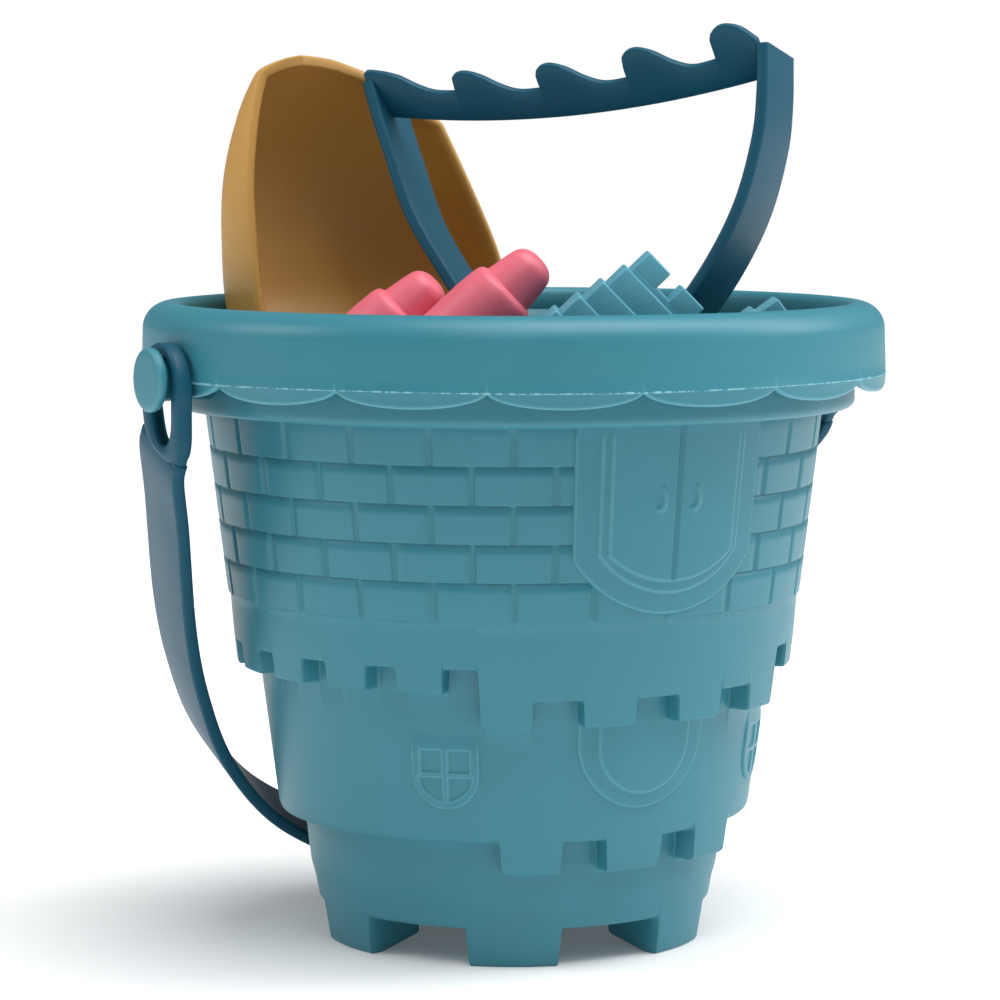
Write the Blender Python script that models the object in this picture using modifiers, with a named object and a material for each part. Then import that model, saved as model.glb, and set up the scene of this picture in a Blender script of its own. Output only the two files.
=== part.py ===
"""Sand bucket with its tools: castle bucket, swinging handle, shovel, rake and four sand moulds.

Metres, +Z up. The origin is on the ground under the middle of the bucket, the gate faces -Y,
and the handle swings about the X axis through the two studs on the rim.
"""

import bpy
import bmesh
from mathutils import Matrix
from math import ceil, cos, exp, hypot, pi, radians, sin, sqrt

MM = 0.001

# Bucket: radii and heights in millimetres.
RIM_RADIUS = 95.0
FLASH_RADIUS = 95.2  # parting line, the widest ring
FLASH_HEIGHT = 145.2
RIM_TOP = 163.0
SKIRT_BOTTOM = 141.3
SKIRT_WALL = 2.6
COLLAR_RADIUS = 87.2
COLLAR_BOTTOM = 136.4
WALL = 2.4
BAND_TOP_RADIUS = 78.9
BAND_LOW_RADIUS = 70.2  # first tier, at its lowest merlons
TIER2_TOP_RADIUS = 66.2  # at SIDE_NOTCH_TOP
TIER2_LOW_RADIUS = 59.4  # at TIER2_MERLON_BOTTOM
TIER3_TOP_RADIUS = 54.2
TIER3_LOW_RADIUS = 52.0
FOOT_TOP_RADIUS = 50.6
FOOT_BOTTOM_RADIUS = 48.9
FOOT_INNER_RADIUS = 33.0
FLOOR_HEIGHT = 12.2
TURN_STEPS = 64

# Castle edges, as heights of the notches' tops and the merlons' bottoms.
SIDE_NOTCH_TOP = 77.2
SIDE_MERLON_BOTTOM = 70.9
GATE_NOTCH_TOP = 69.4
GATE_MERLON_BOTTOM = 62.8
TIER2_NOTCH_TOP = 33.2
TIER2_MERLON_BOTTOM = 25.0
TIER3_STEP = 15.2
FOOT_NOTCH_TOP = 9.7
SIDE_NOTCHES = 18
SIDE_NOTCH_WIDTH = 6.6  # degrees
FIRST_SIDE_NOTCH = 40.5  # degrees from the gate
GATE_MERLONS = ((-36.8, -26.0), (-16.2, -4.8), (4.8, 16.2), (26.0, 36.8))  # degrees
TIER2_MERLONS = ((-33.0, -18.4), (-7.5, 7.5), (18.4, 33.0))
EDGE_GAP = 0.25  # a castle edge's notch stops this far outside the wall below it
FEET = 6
FOOT_WIDTH = 27.4  # degrees
SCALLOPS = 16

# Studs and handle.
STUD_HEIGHT = 145.7
STUD_NECK_RADIUS = 5.3
STUD_HEAD_RADIUS = 8.0
STUD_HEAD_INNER = 100.6
STUD_END = 103.5
STRAP_WIDTH = 22.0
STRAP_FORWARD = 1.0  # the strap stands this far in front of its eyes
STRAP_THICKNESS = 3.2
STRAP_LEAN = radians(25)
LOOP_X = 97.5
# (half width, distance down from the stud axis) of the strap's middle line
STRAP_PATH = (
    (LOOP_X, 10), (96.3, 23), (92, 36), (84, 66), (76.5, 87.2), (65.7, 107.8),
    (49, 126.5), (29.4, 138.6), (12, 143.8), (0, 145),
)
LOOP_HALF_WIDTH = 11.3
LOOP_TOP = 8.7
LOOP_BOTTOM = 17.8
SLOT_HALF_WIDTH = 6.8
SLOT_TOP = 5.6
SLOT_BOTTOM = 15.0

# The tools stand in the bucket turned to the left of the gate.
TOOLS_TURN = radians(-30)

BLADE_TOP = 224.4
BLADE_LENGTH = 86.0
BLADE_DEPTH = 36.0
BLADE_WALL = 2.6
BLADE_TURN = radians(38)  # its mouth faces forward and to the right
BLADE_NEAR = 6.0  # the left lip's place at the rim, and its lean away above it
BLADE_LEAN = 0.14
# (distance down from the tip, across) of the blade's two lips
LEFT_LIP = (
    (0, -55), (0.8, -59), (2.9, -63.6), (5, -65), (15.4, -66.5), (31, -67.4), (46.5, -66.4),
    (64.2, -64.3), (86, -58),
)
RIGHT_LIP = (
    (0, -54.5), (0.8, -48), (2.9, -41.8), (5, -37), (15.4, -21.4), (19.2, -18.1), (50.4, -4.4),
    (64.2, -3), (86, -10),
)
RAKE_DEPTH = 20.0
RAKE_THICKNESS = 3.2
RAKE_BAR = 107.0
TOOTH_PITCH = 23.7
TOOTH_HEIGHT = 9.2
BAR_HEIGHT = 8.0
BAR_SAG = 5.0
# The rake's band, from the left corner of its mouth down to the neck and up to the right corner
RAKE_PATH = (
    (-54, -5), (-50.5, -14), (-46.5, -23), (-38.5, -40), (-26, -57), (-12, -74), (0, -84), (8, -88),
    (15, -85), (25, -77), (36, -65), (45, -51), (51.5, -36), (54.8, -20), (55.2, -8), (54.4, 4.1),
)
MOULD_TIERS = 5
MOULD_TIER_HEIGHT = 6.4
MOULD_TOP_WIDTH = 19.0
MOULD_STEP = 1.5  # each tier stands this far outside the one above
MERLON_NOTCH = (4.2, 4.6)  # width and depth

TEAL = (0.078, 0.270, 0.330)
PETROL = (0.012, 0.080, 0.140)
OCHRE = (0.520, 0.310, 0.080)
PINK = (0.830, 0.160, 0.200)
SKY = (0.100, 0.360, 0.430)


def clear_scene():
    for found in list(bpy.data.objects):
        bpy.data.objects.remove(found, do_unlink=True)


clear_scene()
parts = bpy.data.collections.new("sand_bucket")
cutters = bpy.data.collections.new("cutters")
bpy.context.scene.collection.children.link(parts)
bpy.context.scene.collection.children.link(cutters)
cutters.hide_render = True


def plastic(name, colour, roughness=0.5):
    """A matt moulded plastic."""
    material = bpy.data.materials.new(name)
    material.use_nodes = True
    shader = material.node_tree.nodes["Principled BSDF"]
    shader.inputs["Base Color"].default_value = (*colour, 1)
    shader.inputs["Roughness"].default_value = roughness
    shader.inputs["Metallic"].default_value = 0
    return material


def add_object(name, data, collection, material=None):
    made = bpy.data.objects.new(name, data)
    collection.objects.link(made)
    if collection is cutters:
        made.hide_render = True
        made.display_type = "WIRE"
    if material:
        data.materials.append(material)
    return made


def mesh_object(name, bm, collection, material=None):
    """Closes off a bmesh as an object with its faces pointing outwards."""
    bmesh.ops.recalc_face_normals(bm, faces=bm.faces)
    mesh = bpy.data.meshes.new(name)
    bm.to_mesh(mesh)
    bm.free()
    mesh.shade_smooth()
    mesh.set_sharp_from_angle(angle=radians(35))
    return add_object(name, mesh, collection, material)


def scale_to_metres(bm):
    bmesh.ops.scale(bm, vec=(MM, MM, MM), verts=bm.verts)


def join(target, other, operation="UNION"):
    """A Boolean modifier of target with a helper, which moves with the target."""
    modifier = target.modifiers.new(other.name, "BOOLEAN")
    modifier.operation = operation
    modifier.object = other
    modifier.solver = "EXACT"


def turned(name, profile, steps, collection, material=None, axis="Z"):
    """A closed solid turned about an axis from (radius, height) points that start and end on it, or that close."""
    bm = bmesh.new()
    points = [bm.verts.new((radius, 0, height)) for radius, height in profile]
    for first, second in zip(points, points[1:]):
        bm.edges.new((first, second))
    bmesh.ops.spin(
        bm, geom=bm.verts[:] + bm.edges[:], cent=(0, 0, 0), axis=(0, 0, 1),
        angle=2 * pi, steps=steps, use_merge=True,
    )
    bmesh.ops.remove_doubles(bm, verts=bm.verts, dist=1e-4)
    if axis == "X":
        bmesh.ops.rotate(bm, verts=bm.verts, matrix=Matrix.Rotation(pi / 2, 3, "Y"))
    scale_to_metres(bm)
    return mesh_object(name, bm, collection, material)


def box(name, size, centre, collection, material=None, turn=0.0):
    bm = bmesh.new()
    bmesh.ops.create_cube(bm, size=1)
    bmesh.ops.scale(bm, vec=size, verts=bm.verts)
    bmesh.ops.rotate(bm, verts=bm.verts, matrix=Matrix.Rotation(turn, 3, "Z"))
    bmesh.ops.translate(bm, vec=centre, verts=bm.verts)
    scale_to_metres(bm)
    return mesh_object(name, bm, collection, material)


def ring_cutter(name, inner, outer, bottom, edge):
    """A ring under a castle edge. inner gives its inner radius at a height, and edge lists (angle, top)
    in degrees from the gate, so that the ring's top follows the notches and merlons."""
    bm = bmesh.new()
    rings = []
    for angle, top in edge:
        turn = radians(angle - 90)
        section = (
            (inner(bottom), bottom), (outer, bottom), (outer, top), (inner(top), top),
        )
        rings.append([bm.verts.new((r * cos(turn), r * sin(turn), z)) for r, z in section])
    for ring, following in zip(rings, rings[1:] + rings[:1]):
        for k in range(4):
            bm.faces.new((ring[k], ring[k - 1], following[k - 1], following[k]))
    scale_to_metres(bm)
    return mesh_object(name, bm, cutters)


def castle_edge(notches, outside, draft=0.35, step=6.0):
    """(angle, top) round a ring: outside's height, or inside one of the notches' (from, to, height)
    its own, with steep sides and no stretch longer than step."""
    marks = []
    spans = sorted(notches)
    position = spans[-1][1] - 360
    for start, end, height in spans:
        for low, high, top in ((position, start, outside), (start, end, height)):
            if high - low < 2 * draft:
                continue
            pieces = ceil((high - low) / step)
            low, high = low + draft, high - draft
            marks += [(low + (high - low) * k / pieces, top) for k in range(pieces + 1)]
        position = end
    return marks


def between(low, high, low_radius, high_radius):
    """A straight drafted wall: the radius at a height."""
    return lambda z: low_radius + (high_radius - low_radius) * (z - low) / (high - low)


band_wall = between(GATE_MERLON_BOTTOM, COLLAR_BOTTOM, BAND_LOW_RADIUS, BAND_TOP_RADIUS)
tier2_wall = between(TIER2_MERLON_BOTTOM, SIDE_NOTCH_TOP, TIER2_LOW_RADIUS, TIER2_TOP_RADIUS)
tier3_wall = between(TIER3_STEP, TIER2_NOTCH_TOP, TIER3_LOW_RADIUS, TIER3_TOP_RADIUS)
foot_wall = between(0, TIER3_STEP, FOOT_BOTTOM_RADIUS, FOOT_TOP_RADIUS)


def bucket_profile():
    """Down the outside from the rim's crest, under the floor, then up the inside."""
    outside = [
        (88.0, RIM_TOP), (91.0, 162.2), (93.2, 160.3), (94.5, 157.5), (94.8, 154.0),
        (FLASH_RADIUS, FLASH_HEIGHT), (RIM_RADIUS, SKIRT_BOTTOM - 1),
        (RIM_RADIUS - SKIRT_WALL, SKIRT_BOTTOM - 1), (92.0, 156.5), (90.0, 159.0),
        (COLLAR_RADIUS, 157.0), (COLLAR_RADIUS, COLLAR_BOTTOM + 2.4),
        (COLLAR_RADIUS - 1.6, COLLAR_BOTTOM + 0.3), (band_wall(COLLAR_BOTTOM), COLLAR_BOTTOM),
        (band_wall(GATE_MERLON_BOTTOM - 1), GATE_MERLON_BOTTOM - 1),
        (tier2_wall(GATE_MERLON_BOTTOM - 1), GATE_MERLON_BOTTOM - 1),
        (tier2_wall(TIER2_MERLON_BOTTOM - 1), TIER2_MERLON_BOTTOM - 1),
        (tier3_wall(TIER2_MERLON_BOTTOM - 1), TIER2_MERLON_BOTTOM - 1),
        (TIER3_LOW_RADIUS, TIER3_STEP), (FOOT_TOP_RADIUS, TIER3_STEP - 0.6),
        (FOOT_BOTTOM_RADIUS, 0), (FOOT_INNER_RADIUS, 0),
        (FOOT_INNER_RADIUS, FOOT_NOTCH_TOP - 0.6), (0, FOOT_NOTCH_TOP - 0.6),
    ]
    inside = [
        (0, FLOOR_HEIGHT), (44.5, FLOOR_HEIGHT), (47.4, 14.5),
        (tier3_wall(TIER2_NOTCH_TOP) - WALL, TIER2_NOTCH_TOP + 2.6),
        (tier2_wall(TIER2_NOTCH_TOP + 4) - WALL, TIER2_NOTCH_TOP + 3.6),
        (tier2_wall(SIDE_NOTCH_TOP) - WALL, SIDE_NOTCH_TOP + 2.4),
        (band_wall(SIDE_NOTCH_TOP + 4) - WALL - 0.6, SIDE_NOTCH_TOP + 3.6),
        (band_wall(COLLAR_BOTTOM) - WALL, COLLAR_BOTTOM + 2.0),
        (COLLAR_RADIUS - WALL, COLLAR_BOTTOM + 3.4), (COLLAR_RADIUS - WALL, 160.0),
        (85.8, 162.2),
    ]
    return outside, inside


def side_notches():
    """The notches of the first tier: evenly spaced round the sides and back, wider over the gatehouse."""
    spacing = (360 - 2 * FIRST_SIDE_NOTCH) / (SIDE_NOTCHES - 1)
    half = SIDE_NOTCH_WIDTH / 2
    centres = [FIRST_SIDE_NOTCH + spacing * k for k in range(SIDE_NOTCHES)]
    return [(c - half, c + half, SIDE_NOTCH_TOP) for c in centres]


def gatehouse():
    """Four low merlons with three notches between them, as spans from the gate."""
    spans = [(a, b, GATE_MERLON_BOTTOM) for a, b in GATE_MERLONS]
    notches = zip(GATE_MERLONS, GATE_MERLONS[1:])
    return spans + [(before[1], after[0], GATE_NOTCH_TOP) for before, after in notches]


def scallop_edge():
    """The skirt's lower edge: arcs that hang between cusps."""
    marks = []
    pitch = 360 / SCALLOPS
    for k in range(SCALLOPS):
        for part in (-0.5, -0.38, -0.2, 0.0, 0.2, 0.38):
            rise = 3.4 * (1 - sqrt(max(0.0, 1 - (part / 0.5) ** 2 * 0.97))) / (1 - sqrt(0.03))
            marks.append((pitch * (k + part), SKIRT_BOTTOM + rise))
    return marks


def stud(side):
    """A neck with a round head, moulded on the rim. side is -1 or 1."""
    profile = [
        (0, 85.6), (STUD_NECK_RADIUS, 85.6), (STUD_NECK_RADIUS, STUD_HEAD_INNER),
        (STUD_HEAD_RADIUS - 0.5, STUD_HEAD_INNER), (STUD_HEAD_RADIUS, STUD_HEAD_INNER + 0.6),
        (STUD_HEAD_RADIUS, STUD_END - 1.2), (STUD_HEAD_RADIUS - 1.2, STUD_END), (0, STUD_END),
    ]
    made = turned("stud_left" if side < 0 else "stud_right", profile, 24, cutters, axis="X")
    for vertex in made.data.vertices:
        vertex.co.x *= side
        vertex.co.z += STUD_HEIGHT * MM
    if side < 0:
        made.data.flip_normals()
    return made


def make_bucket():
    outside, inside = bucket_profile()
    profile = outside + inside + outside[:1]
    bucket = turned("bucket", profile, TURN_STEPS, parts, plastic("teal_plastic", TEAL))
    tier2_merlons = [(a, b, TIER2_MERLON_BOTTOM) for a, b in TIER2_MERLONS]
    foot_centres = [360 / FEET * (k + 0.5) for k in range(FEET)]
    feet = [(c - FOOT_WIDTH / 2, c + FOOT_WIDTH / 2, -1) for c in foot_centres]
    cuts = (
        ring_cutter("tier1_edge", lambda z: tier2_wall(z) + EDGE_GAP, COLLAR_RADIUS, 58,
                    castle_edge(side_notches() + gatehouse(), SIDE_MERLON_BOTTOM)),
        ring_cutter("tier2_edge", lambda z: tier3_wall(z) + EDGE_GAP, BAND_LOW_RADIUS, 22,
                    castle_edge(tier2_merlons, TIER2_NOTCH_TOP)),
        ring_cutter("foot_gaps", lambda z: FOOT_INNER_RADIUS - 1, TIER2_LOW_RADIUS, -3,
                    castle_edge(feet, FOOT_NOTCH_TOP)),
        ring_cutter("scallops", lambda z: 89.8, 100, SKIRT_BOTTOM - 4, scallop_edge()),
    )
    for cut in cuts:
        join(bucket, cut, "DIFFERENCE")
    for side in (-1, 1):
        join(bucket, stud(side))
    return bucket


def outline_of(path, half):
    """A band of the given half thickness along a path of (x, y) points, as one closed outline."""
    sides = ([], [])
    for k, (x, y) in enumerate(path):
        before = path[max(k - 1, 0)]
        after = path[min(k + 1, len(path) - 1)]
        dx, dy = after[0] - before[0], after[1] - before[1]
        length = hypot(dx, dy)
        for side, sign in zip(sides, (1, -1)):
            side.append((x - sign * half * dy / length, y + sign * half * dx / length))
    return sides[0] + sides[1][::-1]


def smooth(points, pieces=4):
    """Points along a Catmull-Rom curve through the given ones."""
    ends = [points[0]] + list(points) + [points[-1]]
    found = []
    for a, b, c, d in zip(ends, ends[1:], ends[2:], ends[3:]):
        for k in range(pieces):
            t = k / pieces
            found.append(tuple(
                0.5 * (2 * q + (r - p) * t + (2 * p - 5 * q + 4 * r - s) * t * t
                       + (3 * q - p - 3 * r + s) * t ** 3)
                for p, q, r, s in zip(a, b, c, d)
            ))
    return found + [tuple(points[-1])]


def plate(name, outlines, thickness, collection, material=None, round_edge=0.0):
    """A flat plate in the XY plane from closed outlines, holes included, as a mesh with its caps welded."""
    curve = bpy.data.curves.new(name, "CURVE")
    curve.dimensions = "2D"
    curve.fill_mode = "BOTH"
    curve.extrude = (thickness / 2 - round_edge) * MM
    curve.bevel_depth = round_edge * MM
    curve.bevel_resolution = 0
    curve.offset = -round_edge * MM
    for outline in outlines:
        spline = curve.splines.new("POLY")
        spline.points.add(len(outline) - 1)
        for point, (x, y) in zip(spline.points, outline):
            point.co = (x * MM, y * MM, 0, 1)
        spline.use_cyclic_u = True
    flat = bpy.data.objects.new(name + "_outline", curve)
    bpy.context.scene.collection.objects.link(flat)
    graph = bpy.context.evaluated_depsgraph_get()
    mesh = bpy.data.meshes.new_from_object(flat.evaluated_get(graph))
    bpy.data.objects.remove(flat, do_unlink=True)
    bm = bmesh.new()
    bm.from_mesh(mesh)
    bmesh.ops.remove_doubles(bm, verts=bm.verts, dist=1e-6)
    return mesh_object(name, bm, collection, material)


def ellipse(half_width, top, bottom, steps=32):
    middle, half = (top - bottom) / 2, (top + bottom) / 2
    turns = [2 * pi * k / steps for k in range(steps)]
    return [(half_width * cos(t), middle + half * sin(t)) for t in turns]


def make_handle():
    """A strap bent into a U, with an oval eye at each end that hooks over its stud."""
    right = list(STRAP_PATH)
    left = [(-x, y) for x, y in right[:-1]]
    path = smooth([(x, -y) for x, y in left] + [(x, -y) for x, y in right[::-1]])
    handle = plate("handle", [outline_of(path, STRAP_THICKNESS / 2)], STRAP_WIDTH, parts,
                   plastic("petrol_plastic", PETROL), round_edge=0.7)
    handle.data.transform(Matrix.Translation((0, -STRAP_FORWARD * MM, 0)) @ Matrix.Rotation(pi / 2, 4, "X"))
    stand = Matrix.Rotation(pi / 2, 4, "Z") @ Matrix.Rotation(pi / 2, 4, "X")
    for side, name in ((-1, "left"), (1, "right")):
        eye = plate(f"handle_eye_{name}", [ellipse(LOOP_HALF_WIDTH, LOOP_TOP, LOOP_BOTTOM)],
                    STRAP_THICKNESS + 0.1, cutters, round_edge=0.6)
        slot = plate(f"handle_slot_{name}", [ellipse(SLOT_HALF_WIDTH, SLOT_TOP, SLOT_BOTTOM, 24)], 9, cutters)
        for piece, operation in ((eye, "UNION"), (slot, "DIFFERENCE")):
            piece.data.transform(Matrix.Translation((side * LOOP_X * MM, 0, 0)) @ stand)
            piece.parent = handle
            join(handle, piece, operation)
    handle.location = (0, 0, STUD_HEIGHT * MM)
    handle.rotation_euler = (STRAP_LEAN, 0, 0)
    return handle


def place(tool, location, turns):
    """Stands a tool in the bucket: turns are about its own X, Y and Z in degrees, the last one first."""
    tool.parent = tool_stack
    tool.location = [value * MM for value in location]
    tool.rotation_mode = "ZYX"
    tool.rotation_euler = [radians(turn) for turn in turns]


def at(points, place):
    """The height over a place of a line through (place, height) points."""
    for (low, first), (high, second) in zip(points, points[1:]):
        if place <= high:
            return first + (second - first) * (place - low) / (high - low)
    return points[-1][1]


def blade_point(a, b):
    """The shovel's blade: a runs across from -1 to 1, b from the root at 0 to the tip at 1. Its lips follow
    their own lines, and the section between them is a rounded U that deepens away from the tip."""
    down = BLADE_LENGTH * (1 - b) ** 1.6
    left, right = at(LEFT_LIP, down), at(RIGHT_LIP, down)
    half = (right - left) / 2 / cos(BLADE_TURN)
    shrink = 1 - 0.28 * (max(0.0, down - 60) / (BLADE_LENGTH - 60)) ** 2
    depth = BLADE_DEPTH * (1 - exp(-(down + 1) / 24)) * shrink
    turn = a * pi / 2
    across = half * (1 + abs(sin(turn)) ** 0.75 * (1 if a > 0 else -1))
    back = depth * max(0.0, cos(turn)) ** 0.65
    near = BLADE_NEAR + BLADE_LEAN * (64 - down)
    return (
        left + across * cos(BLADE_TURN) - back * sin(BLADE_TURN),
        near + across * sin(BLADE_TURN) + back * cos(BLADE_TURN),
        BLADE_TOP - down,
    )


def make_shovel():
    """A deep scoop, closed at its root, on a round grip."""
    bm = bmesh.new()
    bmesh.ops.create_grid(bm, x_segments=20, y_segments=16, size=1)
    for vertex in bm.verts:
        x, y, z = blade_point(vertex.co.x, (vertex.co.y + 1) / 2)
        vertex.co = (x * MM, y * MM, z * MM)
    shovel = mesh_object("shovel", bm, parts, plastic("ochre_plastic", OCHRE))
    wall = shovel.modifiers.new("wall", "SOLIDIFY")
    wall.thickness = BLADE_WALL * MM
    wall.offset = 0
    rim = [blade_point(k / 10 - 1, 0) for k in range(21)]
    root_z = rim[0][2]
    middle = [(rim[0][k] + rim[20][k] + 2 * rim[10][k]) / 4 for k in range(2)]
    root = plate("shovel_root", [[point[:2] for point in rim]], 2.6, cutters)
    root.data.transform(Matrix.Translation((0, 0, (root_z + 1) * MM)))
    grip = turned("shovel_grip", [
        (0, root_z + 3), (6.5, root_z + 2), (6.2, root_z - 20),
        (7.4, root_z - 36), (6.0, root_z - 46), (0, root_z - 48),
    ], 16, cutters)
    grip.data.transform(Matrix.Translation((middle[0] * MM, middle[1] * MM, 0)))
    for piece in (root, grip):
        piece.parent = shovel
        join(shovel, piece)
    place(shovel, (0, 0, 0), (0, 0, 0))
    return shovel


def wave_outline():
    """The toothed plate: a row of waves that curl over to the left and grow to the right, above a straight lower edge."""
    wave = ((0.13, 0.10), (0.03, 0.48), (0.05, 0.86), (0.18, 1.0), (0.36, 0.78), (0.56, 0.32),
            (0.74, 0.04), (0.92, 0.0), (1.06, 0.06))
    left, right = -RAKE_BAR / 2, RAKE_BAR / 2
    top = [(left, 0.0), (left - 1, 0.9), (left + 3, 1.0)]
    top += [(left + TOOTH_PITCH * x, y) for x, y in wave[4:]]
    for k in range(1, 5):
        top += [(left + TOOTH_PITCH * (k + x), y) for x, y in wave]
    top = [point for point in top if point[0] < right - 2] + [(right, 0.3)]
    top = [(x, BAR_HEIGHT + TOOTH_HEIGHT * y * (0.74 + 0.26 * x / right)) for x, y in top]
    return top + [(right - RAKE_BAR * k / 8, 0) for k in range(9)]


def make_rake():
    """A bent band with a wavy toothed plate across its mouth and a stem below."""
    rake = plate("rake", [outline_of(smooth(RAKE_PATH, 3), RAKE_THICKNESS / 2)], RAKE_DEPTH, parts,
                 plastic("petrol_rake_plastic", PETROL), round_edge=0.7)
    rake.data.transform(Matrix.Translation((0, RAKE_DEPTH / 2 * MM, 0)) @ Matrix.Rotation(pi / 2, 4, "X"))
    teeth = plate("rake_teeth", [wave_outline()], RAKE_THICKNESS, cutters, round_edge=0.6)
    teeth.data.transform(
        Matrix.Translation((0, 8 * MM, -7.5 * MM))
        @ Matrix.Rotation(radians(-5), 4, "Y") @ Matrix.Rotation(radians(128), 4, "X")
    )
    for vertex in teeth.data.vertices:
        vertex.co.z -= BAR_SAG * MM * (1 - (2 * vertex.co.x / MM / RAKE_BAR) ** 2)
    stem = turned("rake_stem", [
        (0, -84), (6.0, -86), (5.5, -100), (6.8, -128), (5.4, -152), (0, -154),
    ], 16, cutters)
    stem.data.transform(Matrix.Translation((8 * MM, RAKE_DEPTH / 2 * MM, 0)))
    for piece in (teeth, stem):
        piece.parent = rake
        join(rake, piece)
    place(rake, (11.6, -3, 224), (0, 0, 0))
    rake.rotation_mode = "XYZ"
    rake.rotation_euler = (radians(-11.3), 0, radians(-24))
    return rake


def make_tower_mould(name, location, roll):
    """A round tower with a stepped shoulder and a blunt tip, open below."""
    mould = turned(name, [
        (0, 0), (3.4, -0.6), (5.6, -2.6), (6.4, -6.0), (7.4, -11.5), (9.3, -14.5), (9.5, -20),
        (9.8, -62), (8.3, -62), (8.0, -20), (6.4, -13.5), (4.2, -4), (0, -2.2),
    ], 28, parts, plastic(name + "_plastic", PINK))
    place(mould, location, (0, roll, 0))
    return mould


def make_castle_mould(name, location, turns):
    """A stepped square castle with merlons round its top, open below. Its origin is the top's middle."""
    top_height = MOULD_TIER_HEIGHT
    mould = box(name, (MOULD_TOP_WIDTH, MOULD_TOP_WIDTH, top_height), (0, 0, -top_height / 2), parts,
                plastic(name + "_plastic", SKY))
    for index in range(1, MOULD_TIERS):
        width = MOULD_TOP_WIDTH + 2 * MOULD_STEP * index
        middle = -MOULD_TIER_HEIGHT * (index + 0.5) + 0.3
        tier = box(f"{name}_tier_{index}", (width, width, MOULD_TIER_HEIGHT + 0.6), (0, 0, middle), cutters)
        tier.parent = mould
        join(mould, tier)
    notch_width, notch_depth = MERLON_NOTCH
    depth = MOULD_TIERS * MOULD_TIER_HEIGHT
    hollow_width = MOULD_TOP_WIDTH + 2
    cuts = (
        box(f"{name}_notch_x", (40, notch_width, 2 * notch_depth), (0, 0, 0), cutters),
        box(f"{name}_notch_y", (notch_width, 40, 2 * notch_depth), (0, 0, 0), cutters),
        box(f"{name}_hollow", (hollow_width, hollow_width, 36), (0, 0, -depth), cutters),
    )
    for cut in cuts:
        cut.parent = mould
        join(mould, cut, "DIFFERENCE")
    place(mould, location, turns)
    return mould


make_bucket()
make_handle()
tool_stack = bpy.data.objects.new("tool_stack", None)
parts.objects.link(tool_stack)
tool_stack.rotation_euler = (0, 0, TOOLS_TURN)
make_shovel()
make_rake()
make_tower_mould("tower_mould_front", (7.2, -30, 175.0), 47)
make_tower_mould("tower_mould_rear", (-19.5, -15, 169.5), 47)
make_castle_mould("castle_mould_front", (38.5, -53, 170), (0, 46, 0))
make_castle_mould("castle_mould_rear", (73.5, 12, 155.6), (0, 54, 0))
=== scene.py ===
"""Sand bucket with its tools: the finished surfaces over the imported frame.

Sizes are in millimetres until the last step of each piece, which turns them into metres.
The gate faces -Y and angles round the bucket are in degrees from the gate.
"""

import bpy
import bmesh
import numpy as np
from math import radians
from mathutils import Matrix, Vector


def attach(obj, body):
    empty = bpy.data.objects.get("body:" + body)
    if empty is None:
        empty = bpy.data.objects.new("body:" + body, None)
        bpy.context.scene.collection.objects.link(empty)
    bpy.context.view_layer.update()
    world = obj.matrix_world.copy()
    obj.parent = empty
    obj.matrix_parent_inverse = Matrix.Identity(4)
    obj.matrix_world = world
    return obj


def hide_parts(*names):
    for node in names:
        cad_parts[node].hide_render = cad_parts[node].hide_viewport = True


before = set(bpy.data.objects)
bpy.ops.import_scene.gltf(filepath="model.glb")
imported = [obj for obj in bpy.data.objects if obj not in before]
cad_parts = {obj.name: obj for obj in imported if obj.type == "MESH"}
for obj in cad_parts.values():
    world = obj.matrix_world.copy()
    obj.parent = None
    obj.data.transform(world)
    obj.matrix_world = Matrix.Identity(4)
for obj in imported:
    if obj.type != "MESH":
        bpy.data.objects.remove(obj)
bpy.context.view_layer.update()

MM = 0.001
RIM_RADIUS, FLASH_HEIGHT, RIM_TOP = 95.0, 145.2, 163.0
COLLAR_RADIUS, COLLAR_BOTTOM = 87.2, 136.4
COURSES = (126.6, 117.17, 107.72, 98.36, 88.94)  # lower edges of the brick courses
COURSE_STEP = 0.55
TIER1_LOW = 62.8
STUD_HEIGHT = 145.7
EYE_X = 97.5  # the middle of a handle eye's thickness
BLADE_TOP, BLADE_LENGTH, BLADE_DEPTH = 224.4, 86.0, 36.0
TIER_HEIGHT, CASTLE_TIERS = 6.4, 5
TOOLS_TURN = -30.0  # degrees: the tools stand turned to the left of the gate


# Grids and curves

def ramp(low, high, value):
    """0 before low and 1 after high, with the cubic 3t^2 - 2t^3 between."""
    t = np.clip((value - low) / (high - low), 0, 1)
    return t * t * (3 - 2 * t)


def line_between(z, low, high, low_radius, high_radius):
    """A straight drafted wall: the radius at height z."""
    return low_radius + (high_radius - low_radius) * (z - low) / (high - low)


def band_wall(z):
    return line_between(z, TIER1_LOW, COLLAR_BOTTOM, 70.2, 78.9)


def tier2_wall(z):
    return line_between(z, 25.0, 77.2, 59.4, 66.2)


def tier3_wall(z):
    return line_between(z, 15.2, 33.2, 52.0, 54.2)


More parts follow.
